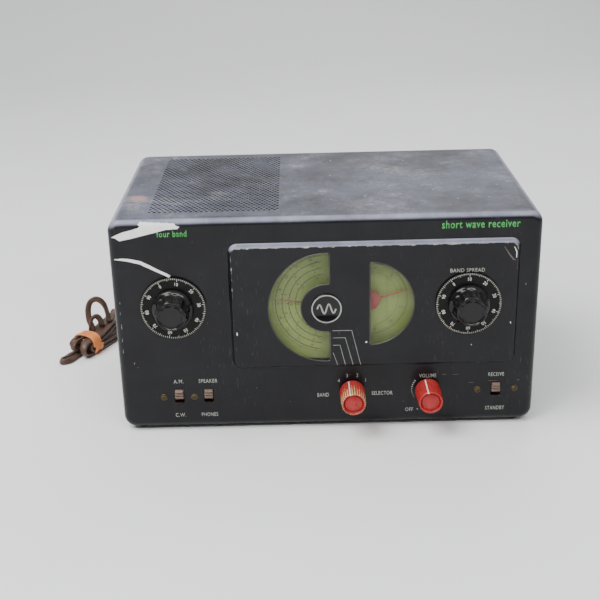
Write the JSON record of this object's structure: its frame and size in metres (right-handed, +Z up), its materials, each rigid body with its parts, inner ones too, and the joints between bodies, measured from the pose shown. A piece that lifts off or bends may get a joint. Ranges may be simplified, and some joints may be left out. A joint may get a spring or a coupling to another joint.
{
  "type": "shortwave receiver",
  "caption": "Table-top shortwave receiver: steel cabinet, raised panel with half-round main and band-spread dials, skirted tuning knobs, red control knobs, slide switches, tied mains cord.",
  "frame": {"origin": "on the table under the middle of the receiver, knobs and rear terminals included and its cord left out", "axes": "+X to the right as seen from the front, along the width; +Y from the front panel to the back; +Z up"},
  "size_m": [0.411, 0.2857, 0.178],
  "materials": {
    "charcoal_paint": "satin enamel, worn on its edges, dusty on top",
    "steel": "plated steel, dull",
    "fibreboard": "pressed hardboard, matt",
    "black_rubber": "matt",
    "clear_sheet": "clear, slightly yellowed",
    "black_bakelite": "polished moulding",
    "dial_green": "printed, matt",
    "dial_string": "braided",
    "aluminium": "dull",
    "brass": "dull",
    "phenolic": "paper laminate",
    "paper_cone": "felted paper, matt",
    "tube_glass": "clear glass",
    "brown_cord": "smooth two-core flex",
    "pointer_red": "satin",
    "red_plastic": "satin moulding, ribs worn to cream",
    "brown_plastic": "satin moulding"
  },
  "bodies": {
    "receiver": {"cabinet": "charcoal_paint", "bottom_plate": "steel", "back_cover": "fibreboard", "foot_1": "black_rubber", "foot_2": "black_rubber", "foot_3": "black_rubber", "foot_4": "black_rubber", "dial_glass": "clear_sheet", "emblem": "black_bakelite", "dial_plate": "dial_green", "dial_bracket": "steel", "main_dial_cord": "dial_string", "spread_dial_cord": "dial_string", "main_gang_frame": "aluminium", "main_stator": "aluminium", "spread_gang_frame": "aluminium", "spread_stator": "aluminium", "tuning_bushing": "brass", "band_spread_bushing": "brass", "band_switch": "phenolic", "volume_control": "steel", "left_switches": "phenolic", "right_switch": "phenolic", "speaker_basket": "steel", "speaker_cone": "paper_cone", "chassis": "steel", "converter_tube": "tube_glass", "amplifier_tube": "tube_glass", "detector_tube": "tube_glass", "output_tube": "tube_glass", "rectifier_tube": "tube_glass", "first_transformer": "aluminium", "second_transformer": "aluminium", "output_transformer": "steel", "filter_capacitor": "aluminium", "antenna_strip": "phenolic", "cord_grommet": "black_rubber", "power_cord": "brown_cord", "cord_tail": "brown_cord", "cord_hank": "brown_cord", "plug": "black_rubber"},
    "main_gang": {"main_rotor": "aluminium", "main_drum": "aluminium", "main_pointer": "pointer_red"},
    "spread_gang": {"spread_rotor": "aluminium", "spread_drum": "aluminium", "spread_pointer": "pointer_red"},
    "tuning": {"tuning_knob": "black_bakelite", "tuning_skirt": "black_bakelite", "tuning_shaft": "steel"},
    "band_spread": {"band_spread_knob": "black_bakelite", "band_spread_skirt": "black_bakelite", "band_spread_shaft": "steel"},
    "selector": {"selector_knob": "red_plastic", "selector_shaft": "steel"},
    "volume": {"volume_knob": "red_plastic", "volume_shaft": "steel"},
    "mode_switch": {"mode_slider": "brown_plastic"},
    "speaker_switch": {"speaker_slider": "brown_plastic"},
    "standby_switch": {"standby_slider": "brown_plastic"}
  },
  "joints": [
    {"name": "main_gang_turn", "type": "hinge", "parent": "receiver", "child": "main_gang", "pos_m": [0, -0.0845, 0.10525], "axis": [0, 1, 0], "range_deg": [-95, 81]},
    {"name": "spread_gang_turn", "type": "hinge", "parent": "receiver", "child": "spread_gang", "pos_m": [0.0333, -0.0845, 0.10775], "axis": [0, 1, 0], "range_deg": [-74, 102]},
    {"name": "tuning_turn", "type": "hinge", "parent": "receiver", "child": "tuning", "pos_m": [-0.1175, -0.0845, 0.10725], "axis": [0, 1, 0], "range_deg": [-642, 548]},
    {"name": "band_spread_turn", "type": "hinge", "parent": "receiver", "child": "band_spread", "pos_m": [0.1085, -0.0845, 0.10725], "axis": [0, 1, 0], "range_deg": [-408, 562]},
    {"name": "selector_turn", "type": "hinge", "parent": "receiver", "child": "selector", "pos_m": [0.0196, -0.0845, 0.0323], "axis": [0, 1, 0], "range_deg": [-30, 60]},
    {"name": "volume_turn", "type": "hinge", "parent": "receiver", "child": "volume", "pos_m": [0.0793, -0.0845, 0.0323], "axis": [0, 1, 0], "range_deg": [-142, 160]},
    {"name": "mode_slide", "type": "slide", "parent": "receiver", "child": "mode_switch", "axis": [0, 0, 1], "range_m": [-0.0042, 0]},
    {"name": "speaker_slide", "type": "slide", "parent": "receiver", "child": "speaker_switch", "axis": [0, 0, 1], "range_m": [-0.0042, 0]},
    {"name": "standby_slide", "type": "slide", "parent": "receiver", "child": "standby_switch", "axis": [0, 0, 1], "range_m": [-0.0042, 0]}
  ],
  "couplings": [
    {"joint": "tuning_turn", "follows": "main_gang_turn", "ratio": 6.75},
    {"joint": "band_spread_turn", "follows": "spread_gang_turn", "ratio": 5.5}
  ]
}
